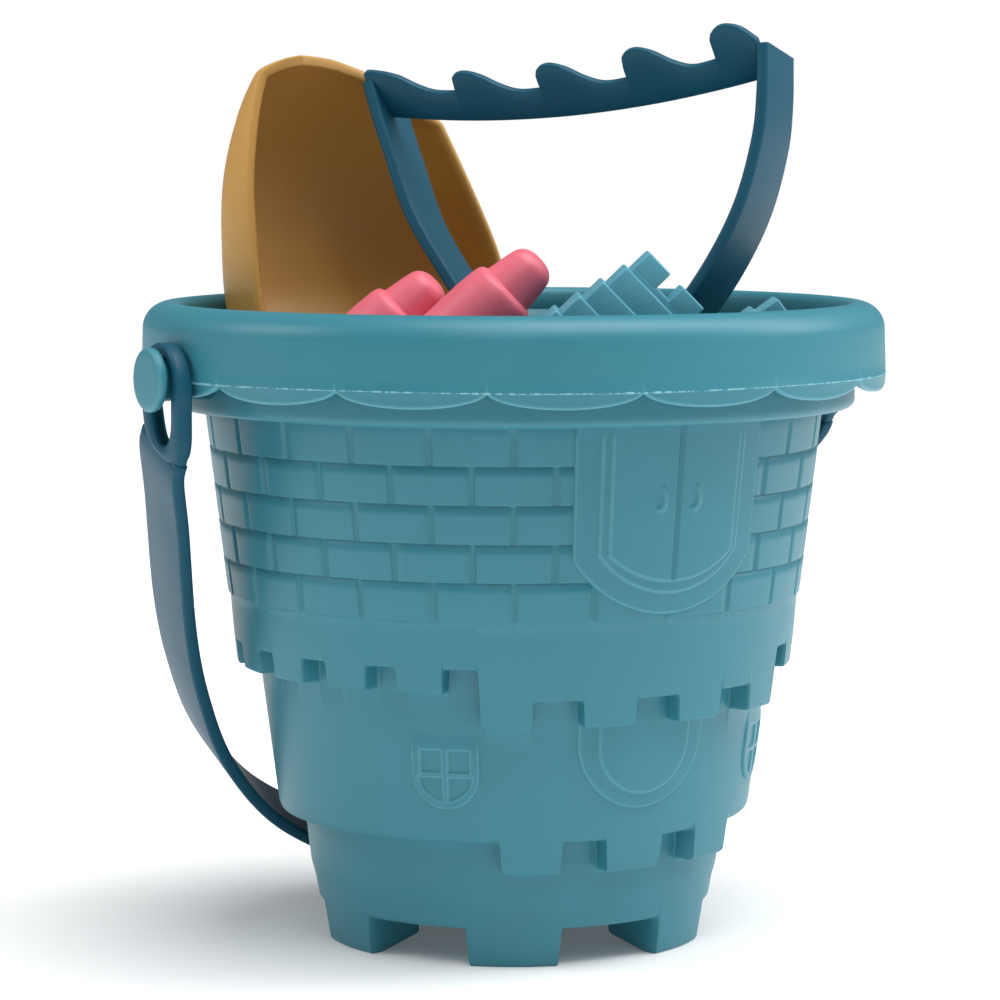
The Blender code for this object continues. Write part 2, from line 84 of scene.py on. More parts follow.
def smooth_curve(points, count):
    """Points evenly spaced along a Catmull-Rom curve: each stretch between q and r is
    (2q + (r - p)t + (2p - 5q + 4r - s)t^2 + (3q - p - 3r + s)t^3) / 2."""
    points = np.asarray(points, float)
    ends = np.vstack([2 * points[0] - points[1], points, 2 * points[-1] - points[-2]])
    p, q, r, s = ends[:-3, None], ends[1:-2, None], ends[2:-1, None], ends[3:, None]
    t = np.linspace(0, 1, 24, endpoint=False)[None, :, None]
    fine = (2 * q + (r - p) * t + (2 * p - 5 * q + 4 * r - s) * t**2
            + (3 * q - p - 3 * r + s) * t**3) / 2
    fine = np.vstack([fine.reshape(-1, points.shape[1]), points[-1:]])
    run = np.concatenate([[0], np.cumsum(np.linalg.norm(np.diff(fine, axis=0), axis=1))])
    even = np.linspace(0, run[-1], count)
    return np.stack([np.interp(even, run, fine[:, k]) for k in range(points.shape[1])], axis=1)


def rounded_bar(width, thickness, radius, corner=5):
    """A closed rounded rectangle, centred, as (across, out) points: four quarter circles of the radius."""
    turn = np.linspace(0, np.pi / 2, corner)
    middle = [(1, 1), (-1, 1), (-1, -1), (1, -1)]
    return np.vstack([np.stack([sx * (width / 2 - radius) + radius * np.cos(turn + k * np.pi / 2),
                                sy * (thickness / 2 - radius) + radius * np.sin(turn + k * np.pi / 2)], axis=1)
                      for k, (sx, sy) in enumerate(middle)])


def piece(name, grids, body, material, smooth_angle=None):
    """One mesh from grids of (rows, columns, 3) points in mm, as (grid, closed, capped). A closed grid joins its
    last column to its first, and a capped one has its first and last rows filled. It carries the name of its body."""
    verts, faces, start = [], [], 0
    for grid, closed, capped in grids:
        rows, columns = grid.shape[:2]
        index = start + np.arange(rows * columns).reshape(rows, columns)
        beside = np.roll(index, -1, axis=1) if closed else index[:, 1:]
        base = index if closed else index[:, :-1]
        quads = np.stack([base[:-1], beside[:-1], beside[1:], base[1:]], axis=-1).reshape(-1, 4)
        verts.append(grid.reshape(-1, 3))
        faces += quads.tolist()
        if capped:
            faces += [index[0, ::-1].tolist(), index[-1].tolist()]
        start += rows * columns
    mesh = bpy.data.meshes.new(name)
    mesh.from_pydata(np.vstack(verts) * MM, [], faces)
    bm = bmesh.new()
    bm.from_mesh(mesh)
    bmesh.ops.remove_doubles(bm, verts=bm.verts, dist=2e-6)
    bmesh.ops.recalc_face_normals(bm, faces=bm.faces)
    bm.to_mesh(mesh)
    bm.free()
    mesh.shade_smooth()
    if smooth_angle:
        mesh.set_sharp_from_angle(angle=radians(smooth_angle))
    made = bpy.data.objects.new(name, mesh)
    bpy.context.scene.collection.objects.link(made)
    mesh.materials.append(material)
    made["body"] = body
    return made


def round_the_axis(radius, angle, height):
    """Points at a radius and an angle from the gate: x = r sin(angle), y = -r cos(angle)."""
    turn = np.radians(angle)
    radius, turn, height = np.broadcast_arrays(radius, turn, height)
    return np.stack([radius * np.sin(turn), -radius * np.cos(turn), height], axis=-1)


def revolved(profile, count=96):
    """Turns (radius, height) points about the Z axis."""
    turn = np.linspace(0, 2 * np.pi, count, endpoint=False)
    profile = np.asarray(profile, float)
    return np.stack([profile[:, :1] * np.cos(turn), profile[:, :1] * np.sin(turn), profile[:, 1:] + 0 * turn], axis=-1)


def standing(points, place, turns):
    """Puts a tool's own points in the bucket: turned in the order given, moved, and turned with all the tools."""
    turned = Matrix.Identity(3)
    for axis, angle in turns:
        turned = Matrix.Rotation(radians(angle), 3, axis) @ turned
    rest = Matrix.Rotation(radians(TOOLS_TURN), 3, "Z")
    return (points @ np.array(turned).T + np.array(place)) @ np.array(rest).T


# Materials

class Value:
    """A shader socket that can be used in sums: each operator adds one Math node."""

    def __init__(self, tree, socket):
        self.tree, self.socket = tree, socket

    def node(self, kind, settings=None, out=0, **inputs):
        """Any other node: its settings first, then the values or links of its sockets, by name or place."""
        made = self.tree.nodes.new(kind)
        for key, value in (settings or {}).items():
            if key == "ramp":
                stops = made.color_ramp.elements
                for place, (position, colour) in enumerate(value):
                    stop = stops[place] if place < 2 else stops.new(position)
                    stop.position, stop.color = position, colour
            else:
                setattr(made, key, value)
        for key, value in inputs.items():
            name = key.replace("_", " ")
            socket = made.inputs[int(key[1:])] if key[0] == "i" and key[1:].isdigit() else made.inputs[name]
            if isinstance(value, Value):
                self.tree.links.new(value.socket, socket)
            else:
                socket.default_value = value
        return Value(self.tree, made.outputs[out])

    def maths(self, operation, *others, clamp=False):
        made = self.tree.nodes.new("ShaderNodeMath")
        made.operation, made.use_clamp = operation, clamp
        for socket, value in zip(made.inputs, (self, *others)):
            if isinstance(value, Value):
                self.tree.links.new(value.socket, socket)
            else:
                socket.default_value = value
        return Value(self.tree, made.outputs[0])

    def __add__(self, other):
        return self.maths("ADD", other)

    def __mul__(self, other):
        return self.maths("MULTIPLY", other)

    def __sub__(self, other):
        return self.maths("SUBTRACT", other)

    def __rsub__(self, other):
        return (self * -1).maths("ADD", other)

    __radd__, __rmul__ = __add__, __mul__

    def between(self, low, high):
        return ((self - low) * (1 / (high - low))).maths("ADD", 0, clamp=True)


def mixed(factor, first, second):
    """A colour between two: factor 0 gives the first."""
    return factor.node("ShaderNodeMix", {"data_type": "RGBA"}, out=2, i0=factor, i6=first, i7=second)


def moulded_plastic(name, colour, roughness, cloud, edge=None, grain=0.35, specular=0.5):
    """Moulded plastic: a soft cloud in the colour, fine grain in the surface, and, where the piece has an edge
    attribute,
    a painted highlight: the paler line that rounded edges show where they catch the light."""
    material = bpy.data.materials.new(name)
    material.use_nodes = True
    tree = material.node_tree
    shader = tree.nodes["Principled BSDF"]
    place = Value(tree, tree.nodes.new("ShaderNodeTexCoord").outputs["Object"])

    def noise(scale, detail, rough=0.5):
        return place.node("ShaderNodeTexNoise", Vector=place, Scale=scale, Detail=detail, Roughness=rough)

    clouds = noise(28.0, 3.0).between(0.3, 0.7)
    speck = noise(2600.0, 2.0).between(0.35, 0.65)
    deep = (*[c * (1 - cloud) for c in colour], 1)
    pale = (*[min(1.0, c * (1 + cloud)) for c in colour], 1)
    base = mixed(clouds * 0.55 + speck * 0.45, deep, pale)
    # The edge attribute and the edge colour paint a highlight along rounded edges.
    if edge:
        painted_highlight = place.node("ShaderNodeAttribute", {"attribute_name": "edge"}, out=2)
        base = mixed(painted_highlight * (0.75 + 0.25 * speck), base, (*edge, 1))
    tree.links.new(base.socket, shader.inputs["Base Color"])
    matt = roughness - 0.05 + 0.06 * clouds + 0.04 * speck
    tree.links.new(matt.socket, shader.inputs["Roughness"])
    height = noise(1500.0, 3.0, 0.6) * 0.7 + noise(240.0, 2.0) * 0.5
    bump = place.node("ShaderNodeBump", Height=height, Strength=grain, Distance=0.00006)
    tree.links.new(bump.socket, shader.inputs["Normal"])
    shader.inputs["Specular IOR Level"].default_value = specular
    return material


# The edge colour is a painted highlight for the rounded edges of the teal mouldings.
TEAL = moulded_plastic("teal moulding", (0.0295, 0.209, 0.274), 0.44, 0.05, edge=(0.10, 0.35, 0.43))
FLASH = moulded_plastic("torn flash", (0.20, 0.47, 0.55), 0.7, 0.10, grain=0.8)
PETROL = moulded_plastic("petrol moulding", (0.006, 0.080, 0.132), 0.46, 0.04, specular=0.25)
OCHRE = moulded_plastic("ochre moulding", (0.54, 0.29, 0.066), 0.45, 0.04)
PINK = moulded_plastic("salmon moulding", (0.80, 0.15, 0.21), 0.42, 0.03)
SKY = moulded_plastic("sky moulding", (0.085, 0.335, 0.435), 0.45, 0.04)


def paint_edge_highlights(made, amount):
    """Stores the painted highlight along rounded edges, from 0 to 1, worked out by amount(points in mm)."""
    co = np.empty(len(made.data.vertices) * 3, np.float32)
    made.data.vertices.foreach_get("co", co)
    layer = made.data.attributes.new("edge", "FLOAT", "POINT")
    layer.data.foreach_set("value", np.clip(amount(co.reshape(-1, 3) / MM), 0, 1).astype(np.float32))


# The bucket's wall: columns stand at every feature, and rows follow the castle edges.

NOTCH_WIDTH = 6.6  # degrees
FOOT_HALF = 13.5  # degrees, half a foot's width
NOTCH_CENTRES = 40.5 + (360 - 81) / 17 * np.arange(18)
FEET_CENTRES = 60.0 * np.arange(6) + 30
GATE_MERLONS = np.array([(-36.8, -26.0), (-16.2, -4.8), (4.8, 16.2), (26.0, 36.8)])
TIER2_MERLONS = np.array([(-33.2, -18.6), (-7.7, 7.2), (18.5, 32.8)])
STEEP = np.array([-0.7, -0.38, -0.2, 0.2, 0.38, 0.7])  # mm across a merlon's side
SHARE = np.array([0, 0.03, 0.14, 0.86, 0.97, 1])


def steps_of(spans, inside, outside, radius):
    """Marks (angle, height) where an edge line goes from outside to inside a span and back, with round corners."""
    angles, heights = [], []
    draft = np.degrees(STEEP / radius)
    for low, high in spans:
        angles += [low + draft, high + draft]
        heights += [outside + (inside - outside) * SHARE, inside + (outside - inside) * SHARE]
    return np.concatenate(angles), np.concatenate(heights)


def edge_line(marks, columns):
    """The edge's height at each column, straight between its marks, round the whole circle."""
    angle, height = marks
    order = np.argsort(angle % 360)
    return np.interp(columns % 360, (angle % 360)[order], height[order], period=360)


def tier1_marks():
    """Low merlons over the gate with raised notches between them, and small notches round the rest."""
    notches = np.stack([NOTCH_CENTRES - NOTCH_WIDTH / 2, NOTCH_CENTRES + NOTCH_WIDTH / 2], axis=1)
    side = steps_of(notches, 77.1, 70.9, 71.0)
    gate = steps_of(GATE_MERLONS, 62.7, 69.4, 70.3)
    low, high = gate[0] < -36, gate[0] > 36
    heights = gate[1].copy()
    heights[low] = 77.1 + (62.7 - 77.1) * SHARE
    heights[high] = 62.7 + (77.1 - 62.7) * SHARE
    first, last = notches[0], notches[-1]
    kept = (np.abs(side[0] - first[0]) >= 1) & (np.abs(side[0] - last[1]) >= 1)
    return np.concatenate([side[0][kept], gate[0]]), np.concatenate([side[1][kept], heights])


def joint_columns():
    """Where the upright joints between bricks have their corners, in mm either side of each joint."""
    across = np.degrees(np.array([-0.95, -0.55, 0.55, 0.95]) / 76.0)
    return (7.5 * np.arange(48)[:, None] + across).ravel()


def joint_depth(columns, shift):
    """1 in the middle of the upright joints of a course, and 0 away from them."""
    away = np.abs((columns - shift + 7.5) % 15 - 7.5) * np.radians(1) * 76.0
    return 1 - ramp(0.5, 0.98, away)


def wall_grid():
    """Rows of (angle, radius, height), from under the rim down to the feet, across the underside to the axis.
    Near a castle edge the rows are offsets of the edge line along its own normal, so that its sides are rounded too."""
    tier1, tier2 = tier1_marks(), steps_of(TIER2_MERLONS, 24.9, 33.0, 60.0)
    feet = steps_of(np.stack([FEET_CENTRES - FOOT_HALF, FEET_CENTRES + FOOT_HALF], axis=1), 0.0, 9.7, 48.5)
    special = np.unique(np.round(np.concatenate([tier1[0], tier2[0], feet[0], joint_columns()]) % 360, 3))
    special = special[np.concatenate([[True], np.diff(special) > 0.06])]
    plain = np.arange(0, 360, 1.2)
    near = np.abs((plain[:, None] - special[None] + 180) % 360 - 180).min(axis=1)
    columns = np.sort(np.concatenate([special, plain[near > 0.4]]))
    e1, e2, e3 = (edge_line(marks, columns) for marks in (tier1, tier2, feet))

    def offset(edge, radius, inward):
        along = np.radians(np.roll(columns, -1) - np.roll(columns, 1)) % (2 * np.pi) * radius
        rise = np.roll(edge, -1) - np.roll(edge, 1)
        length = np.hypot(along, rise)
        aside = np.clip(inward * rise / length, -0.15, 0.15)
        return columns - np.degrees(aside / radius), edge + inward * along / length

    rows, marks = [], []

    # Each row carries a weight for the painted highlight along rounded edges.
    def row(angle, radius, height, painted_highlight=0.0):
        rows.append(round_the_axis(radius, angle, height + 0 * columns))
        marks.append(np.broadcast_to(painted_highlight, columns.shape).astype(float))

    for radius, height in ((84.9, 157.0), (86.9, 157.0), (COLLAR_RADIUS, 156.0), (COLLAR_RADIUS, 147.0),
                           (COLLAR_RADIUS, 139.4), (COLLAR_RADIUS, 138.4)):
        row(columns, radius, height)
    # The collar's rounded lower corner gets a painted highlight, strongest halfway round it.
    for turn in np.radians((18, 36, 54, 72, 90)):
        row(columns, COLLAR_RADIUS - 1.9 * (1 - np.cos(turn)), COLLAR_BOTTOM + 1.9 * (1 - np.sin(turn)),
            np.sin(2 * turn))
    row(columns, band_wall(COLLAR_BOTTOM) + 0.6, COLLAR_BOTTOM)
    row(columns, band_wall(COLLAR_BOTTOM), COLLAR_BOTTOM - 0.4)
    top = COLLAR_BOTTOM - 0.5
    # Painted highlights: along each course's rounded lower edge, and down the middles of its upright joints.
    for course, bottom in enumerate(COURSES):
        joints = joint_depth(columns, 7.5 * (course % 2))
        proud = COURSE_STEP * (1 - joints)
        for share in (0.04, 0.3, 0.6):
            z = top - share * (top - bottom)
            row(columns, band_wall(z) - 0.35 + proud, z, 0.45 * joints)
        row(columns, band_wall(bottom) - 0.35 + proud, bottom + 0.55)
        row(columns, band_wall(bottom) - 0.35 + proud * 0.92, bottom + 0.22, (1 - joints))
        row(columns, band_wall(bottom) - 0.35 + proud * 0.6, bottom + 0.06, (1 - joints))
        row(columns, band_wall(bottom) - 0.35, bottom)
        top = bottom
    for share in (0.15, 0.4, 0.7, 1.0):
        z = top + (e1 + 1.6 - top) * share
        row(columns, band_wall(z) - 0.35 * ramp(77.5, top, z), z)
    # The rounded sides of the tier 1 castle edge carry a painted highlight.
    for inward, back, painted_highlight in ((0.85, 0.0, 0.0), (0.42, 0.04, 0.5), (0.16, 0.18, 1.0), (0.03, 0.45, 0.7)):
        angle, z = offset(e1, 70.5, inward)
        row(angle, band_wall(z) - back, z, painted_highlight)
    row(columns, band_wall(e1) - 0.9, e1)
    row(columns, tier2_wall(e1) + 0.5, e1)
    row(columns, tier2_wall(e1), e1 - 0.4)
    for share in (0.2, 0.4, 0.6, 0.8, 1.0):
        z = e1 - 0.4 + (e2 + 3.2 - e1 + 0.4) * share
        row(columns, tier2_wall(z), z)
    # The tier 2 merlon edges carry the same painted highlight.
    for inward, back, painted_highlight in ((2.2, 0.0, 0.0), (1.2, 0.12, 0.0), (0.5, 0.35, 0.6), (0.14, 0.7, 1.0), (0.0, 1.1, 0.5)):
        angle, z = offset(e2, 60.0, inward)
        row(angle, tier2_wall(z) - back, z, painted_highlight)
    row(columns, tier3_wall(e2) + 0.5, e2)
    row(columns, tier3_wall(e2), e2 - 0.4)
    for share in (0.35, 0.7, 1.0):
        z = e2 - 0.4 + (20.0 - e2 + 0.4) * share
        row(columns, tier3_wall(z), z)
    for z in np.linspace(19.2, 12.2, 9):
        row(columns, 50.8 + (tier3_wall(z) - 50.8) * ramp(10.6, 19.8, z), z)
    # The feet's edges carry the same painted highlight.
    for inward, back, painted_highlight in ((1.2, 0.0, 0.0), (0.5, 0.06, 0.0), (0.15, 0.25, 0.4), (0.0, 0.6, 0.2)):
        angle, z = offset(e3, 49.0, inward)
        row(angle, 48.9 + 1.9 * z / 12.2 - back, z, painted_highlight)
    for radius, rise in ((46.5, 0.0), (45.0, 0.0), (39.0, 1.6), (33.4, 3.1), (33.0, 3.4)):
        row(columns, radius, np.minimum(e3 + rise, 9.7))
    row(columns, 32.9, 9.7)
    for radius in (26.0, 18.0, 9.0, 0.0):
        row(columns, radius, 9.7)
    return np.stack(rows), np.stack(marks)


def wall_inside():
    """The inner wall, from the crest down to the floor and the axis, as (radius, height)."""
    return np.array([(84.9, 157.0), (84.8, 150), (84.8, 140.5), (84.2, 139.2), (77.2, 137.6), (76.4, 136),
                     (74.2, 120), (71.0, 100), (68.0, 82.5), (67.2, 80.8), (64.4, 80.0), (63.6, 78.6), (61.6, 60),
                     (58.5, 37.8), (57.5, 36.9), (52.2, 36.1), (51.4, 35.2), (48.6, 18), (47.0, 14.2), (43.6, 12.3),
                     (30, 12.2), (15, 12.2), (0, 12.2)])


def make_wall():
    """The inner and outer walls as one grid, and the painted edge highlights of the outer rows carried to the merged
    points.
    """
    outside, marks = wall_grid()
    angle = np.degrees(np.arctan2(outside[0, :, 0], -outside[0, :, 1]))
    inner = wall_inside()
    inside = round_the_axis(inner[1:, :1], angle[None], inner[1:, 1:])
    whole = np.concatenate([inside[::-1], outside])
    made = piece("bucket_wall", [(whole, True, False)], "bucket", TEAL)
    marks = np.concatenate([np.zeros(inside.shape[:2]), marks]).ravel()
    co = np.empty(len(made.data.vertices) * 3, np.float32)
    made.data.vertices.foreach_get("co", co)
    both = np.vstack([np.round(whole.reshape(-1, 3), 2), np.round(co.reshape(-1, 3) / MM, 2)])
    same = np.unique(both, axis=0, return_inverse=True)[1].ravel()
    value = np.zeros(same.max() + 1)
    np.maximum.at(value, same[:len(marks)], marks)
    layer = made.data.attributes.new("edge", "FLOAT", "POINT")
    layer.data.foreach_set("value", value[same[len(marks):]].astype(np.float32))
    return made


def scallop(turn):
    """The height of the rim's lower edge: arcs that hang between cusps 22.5 degrees apart, with u from 0 in the
    middle of an arc to 1 at a cusp, z = 141.3 + 3.7 (1 - sqrt(1 - 0.97 u^2)) / (1 - sqrt(0.03))."""
    u = np.clip(np.abs((turn + 11.25) % 22.5 - 11.25) / 11.25, 0, 1)
    return 141.3 + 3.7 * (1 - np.sqrt(1 - 0.97 * u**2)) / (1 - np.sqrt(0.03))


def make_rim():
    """A ring: over the crest, down the skirt, round its scalloped edge and back up under it."""
    angle = np.linspace(0, 360, 960, endpoint=False)
    hang = scallop(angle)
    rows = [(84.9, 150.0), (84.9, 159.0), (85.1, 161.0), (85.7, 162.3), (86.8, 162.9), (88.0, RIM_TOP), (89.4, 162.85)]
    corner = np.radians(np.linspace(72, 0, 9))
    rows += [(88.0 + 6.7 * np.cos(t), 156.3 + 6.7 * np.sin(t)) for t in corner]
    rows += [(94.82, 152.0), (94.92, 148.5), (RIM_RADIUS, FLASH_HEIGHT + 0.25), (95.12, FLASH_HEIGHT),
             (RIM_RADIUS, FLASH_HEIGHT - 0.25)]
    grid = [round_the_axis(r, angle, z) for r, z in rows]
    lip = ((0.0, 0.9), (0.05, 0.45), (0.2, 0.15), (0.5, 0.0), (1.6, 0.0), (2.1, 0.2), (2.35, 0.6))
    grid += [round_the_axis(94.95 - back, angle, np.minimum(hang + up, FLASH_HEIGHT - 0.3)) for back, up in lip]
    under = ((92.4, 148.0), (92.0, 155.5), (90.4, 158.4), (87.2, 157.4), (86.2, 156.0), (86.2, 150.0))
    grid += [round_the_axis(r, angle, z) for r, z in under]
    grid.append(grid[0])
    made = piece("bucket_rim", [(np.stack(grid), True, False)], "bucket", TEAL)

    # A painted highlight along the scalloped lower lip, where its rounded edge catches the light.
    def amount(p):
        low = scallop(np.degrees(np.arctan2(p[:, 0], -p[:, 1])))
        return (np.hypot(p[:, 0], p[:, 1]) > 93.5) * (1 - ramp(0.1, 0.8, p[:, 2] - low))
    paint_edge_highlights(made, amount)
    return made


def make_flash():
    """The torn line that the mould's parting leaves round the rim: a thin strip whose width comes and goes."""
    count = 2400
    angle = np.linspace(0, 360, count, endpoint=False)
    rng = np.random.default_rng(7)

    def wander(span):
        """How far a running mean of random numbers, over the span, strays from 0. It joins up round the ring."""
        steps = np.tile(rng.normal(size=count), 3)
        return np.abs(np.convolve(steps, np.ones(span) / span, "same")[count:2 * count])

    rough, slow = wander(7), wander(61)
    wide = 0.14 + 0.14 * np.clip(rough * 1.6, 0, 1) + 0.5 * np.clip(slow * 3, 0, 0.6) * np.clip(rough * 2, 0, 1)
    out = 95.05 + 0.13 * np.clip(rough * 2, 0, 1)
    drift = FLASH_HEIGHT + 0.12 * np.sin(np.radians(angle * 5)) + 0.08 * np.clip(rough, 0, 1)
    corners = ((94.6, 1), (out, 1), (out, -1), (94.6, -1), (94.6, 1))
    grid = np.stack([round_the_axis(radius, angle, drift + side * wide / 2) for radius, side in corners])
    return piece("rim_flash", [(grid, True, False)], "bucket", FLASH)


# Reliefs on the wall: a fine patch whose height over the wall is a sum of steps at outlines.

def arch_distance(s, z, half, bottom, radius):
    """Distance outside an upright door shape: straight sides, and an arc of the radius below."""
    centre = bottom + radius
    return np.maximum(np.abs(s) - half, np.hypot(s, np.minimum(z - centre, 0)) - radius)


def relief(name, middle, half, z_low, z_high, scale, wall, height, pitch=0.33):
    """A patch that stands on the wall: radius = wall(z) + height(s, z). s is the arc at the radius scale, in mm.
    Its border sinks behind the wall, and a back sheet closes it. height gives the painted highlights along its edges
    too."""
    s = np.linspace(-half, half, int(2 * half / pitch))
    z = np.linspace(z_low, z_high, int((z_high - z_low) / pitch))
    across, up = np.meshgrid(s, z)
    front = round_the_axis(wall(up) + height(across, up)[0], middle + np.degrees(across / scale), up)
    back = round_the_axis(wall(up) - 0.9, middle + np.degrees(across / scale), up)[:, ::-1]
    loop = np.concatenate([front, back], axis=1)
    made = piece(name, [(loop, True, False)], "bucket", TEAL)
    bm = bmesh.new()
    bm.from_mesh(made.data)
    bmesh.ops.holes_fill(bm, edges=[e for e in bm.edges if e.is_boundary], sides=0)
    bmesh.ops.recalc_face_normals(bm, faces=bm.faces)
    bm.to_mesh(made.data)
    bm.free()

    def amount(p):
        turn = (np.degrees(np.arctan2(p[:, 0], -p[:, 1])) - middle) * np.radians(1) * scale
        proud = np.hypot(p[:, 0], p[:, 1]) - wall(p[:, 2]) > -0.5
        return height(turn, p[:, 2])[1] * proud
    paint_edge_highlights(made, amount)
    return made


def step(distance, rise, soft=0.32):
    """Rises by rise from just outside an outline to just inside it."""
    return rise * (1 - ramp(-soft, soft, distance))


def glint(distance, width=0.5):
    """A line just inside an outline, where its rounded edge shows paler."""
    return np.clip(1 - np.abs(distance + 0.3) / width, 0, 1)


def gate_height(s, z):
    """Frame, inner frame and doors, one on another, with a groove between the doors and two crescent pulls."""
    frame_edge = arch_distance(s, z, 26.0, 90.0, 31.5)
    inner_edge = arch_distance(s, z, 19.8, 95.2, 24.9)
    door_edge = arch_distance(s, z, 17.5, 98.1, 25.6)
    groove = 1 - ramp(0.28, 0.75, np.abs(s))
    pull = np.zeros_like(s)
    for side in (-1, 1):
        outer = np.hypot((s - side * 4.7) / 1.75, (z - 118.2) / 3.3) - 1
        inner = np.hypot((s - side * 4.7 + 1.1) / 1.5, (z - 118.9) / 2.7) - 1
        pull = np.maximum(pull, (1 - ramp(-0.25, 0.15, outer)) * ramp(-0.2, 0.2, inner))
    lift = -0.7 + step(frame_edge, 1.55) + step(inner_edge, 0.75) + step(door_edge, 0.75)
    lift = lift - 0.6 * groove * (1 - ramp(-0.8, -0.2, door_edge)) + 0.4 * pull
    # Painted highlights: glints along the three outlines, and a fainter one on the pulls.
    painted_highlight = 0.75 * np.maximum(np.maximum(glint(frame_edge), glint(inner_edge)), glint(door_edge))
    return lift, np.maximum(painted_highlight * (z < 134), 0.25 * pull)


def arch_height(s, z):
    """An arch band with a panel inside it."""
    outer = arch_distance(s, z, 17.6, 40.8, 17.6)
    inner = arch_distance(s, z, 12.6, 44.6, 12.6)
    lift = -0.6 + step(outer, 1.35) + step(inner, 0.65)
    return lift, 0.75 * np.maximum(glint(outer), glint(inner))


def window_height(s, z):
    """A round-bottomed window with four sunk panes. Its plate runs out into the wall near its top."""
    outline = arch_distance(s, z, 8.6, 41.3, 8.6)
    fade = 1 - ramp(54.5, 62.0, z)
    inner = arch_distance(s, z, 6.6, 43.6, 6.6)
    side = np.abs(s)
    upper = np.maximum(np.abs(side - 3.5) - 2.5, np.abs(z - 53.4) - 2.65)
    lower = np.maximum(np.maximum(0.95 - side, inner), z - 49.2)
    pane = np.minimum(upper, lower)
    lift = -0.5 + step(outline, 0.5 + 0.55 * fade) - step(pane, 0.6, 0.3) * (0.5 + 0.5 * fade)
    lift = lift - 0.1 * (1 - ramp(-0.3, 0.3, outline)) * (1 - fade)
    # Painted highlights along the outline and the edges of the panes.
    painted_highlight = np.maximum(glint(outline) * fade, np.clip(1 - np.abs(pane - 0.3) / 0.5, 0, 1))
    return lift, 0.6 * painted_highlight


def make_studs():
    """Both studs: a neck and a round head with a soft edge, turned about the X axis."""
    profile = np.array([(0.0, 86.0), (5.3, 86.0), (5.3, 100.6), (6.9, 100.8), (7.6, 101.1), (7.9, 101.6),
                        (7.95, 102.4), (7.8, 102.9), (7.4, 103.3), (6.7, 103.47), (5.8, 103.5), (3.0, 103.5),
                        (0.0, 103.5)])
    y, z, x = np.moveaxis(revolved(profile), -1, 0)
    made = []
    for side, name in ((-1, "stud_left"), (1, "stud_right")):
        grid = np.stack([side * x, y, STUD_HEIGHT + z], axis=-1)
        stud = piece(name, [(grid, True, False)], "bucket", TEAL)
        # A painted highlight round the head's rounded edge.
        paint_edge_highlights(stud, lambda p: 0.4 * (np.abs(p[:, 0]) > 102.5)
                   * (np.hypot(p[:, 1], p[:, 2] - STUD_HEIGHT) > 6.8))
        made.append(stud)
    return made


# Handle

# The right half of the strap's middle line, as (across, distance below the studs)
STRAP_PATH = ((EYE_X, 15.6), (97.2, 21), (92.6, 36), (84.2, 66), (76.2, 86.8), (65.2, 107.0), (48.6, 125.6),
              (29.2, 137.8), (12, 143.4), (0, 144.8))
STRAP_WIDTH, STRAP_THICKNESS = 22.2, 3.3
STRAP_LEAN = 25.0


def swept(path, section):
    """A section of (along depth, across path) points carried along a path of (x, z) points, both in mm.
    The path's normal is its tangent turned by a right angle."""
    tangent = np.gradient(path, axis=0)
    tangent /= np.linalg.norm(tangent, axis=1, keepdims=True)
    normal = np.stack([-tangent[:, 1], tangent[:, 0]], axis=1)
    x = path[:, None, 0] + section[None, :, 1] * normal[:, None, 0]
    z = path[:, None, 1] + section[None, :, 1] * normal[:, None, 1]
    y = np.broadcast_to(section[None, :, 0], x.shape)
    return np.stack([x, y, z], axis=-1)


def oval_ring(side, half, deep, power, width, corner):
    """A closed bar round a stud's slot: at each turn t a rounded bar reaches from the slot's oval to the outer
    outline, an oval above. Below, x = half cos(t)^power and z = -4.55 - deep sin(t)^power, squarer for a low power."""
    turn = np.linspace(0, 2 * np.pi, 128, endpoint=False)
    low = np.sin(turn) < 0
    wide = half * np.where(low, np.sign(np.cos(turn)) * np.abs(np.cos(turn)) ** power, np.cos(turn))
    tall = -4.55 + np.where(low, -deep * np.abs(np.sin(turn)) ** power, 13.25 * np.sin(turn))
    outer = np.stack([wide, tall], axis=1)
    slot_oval = np.stack([6.8 * np.cos(turn), -4.7 + 10.3 * np.sin(turn)], axis=1)
    middle, reach = (outer + slot_oval) / 2, (outer - slot_oval) / 2
    section = rounded_bar(2.0, width, corner)
    out = np.clip(section[:, 0], -1, 1)
    place = middle[:, None] + reach[:, None] * out[None, :, None]
    x = side * EYE_X + np.broadcast_to(section[None, :, 1], place.shape[:2])
    return np.concatenate([x[..., None], place], axis=-1)


def hang(points):
    """The soft strap is a little twisted. At the distance d below the studs its left arm moves forward by
    6.4 ramp(0, 16, d) exp(-d / 74), and its right arm moves back by half that and inwards by 3.5 ramp(15, 28, d)
    (1 - ramp(40, 80, d)). Then all of it leans back."""
    points = points.copy()
    down = -points[..., 2]
    right = ramp(-20, 20, points[..., 0])
    points[..., 1] -= 6.4 * ramp(0, 16, down) * np.exp(-down / 74) * (1 - 1.5 * right)
    points[..., 0] -= 3.5 * right * ramp(15, 28, down) * (1 - ramp(40, 80, down))
    lean = np.array(Matrix.Rotation(radians(STRAP_LEAN), 3, "X"))
    return points @ lean.T + (0, 0, STUD_HEIGHT)


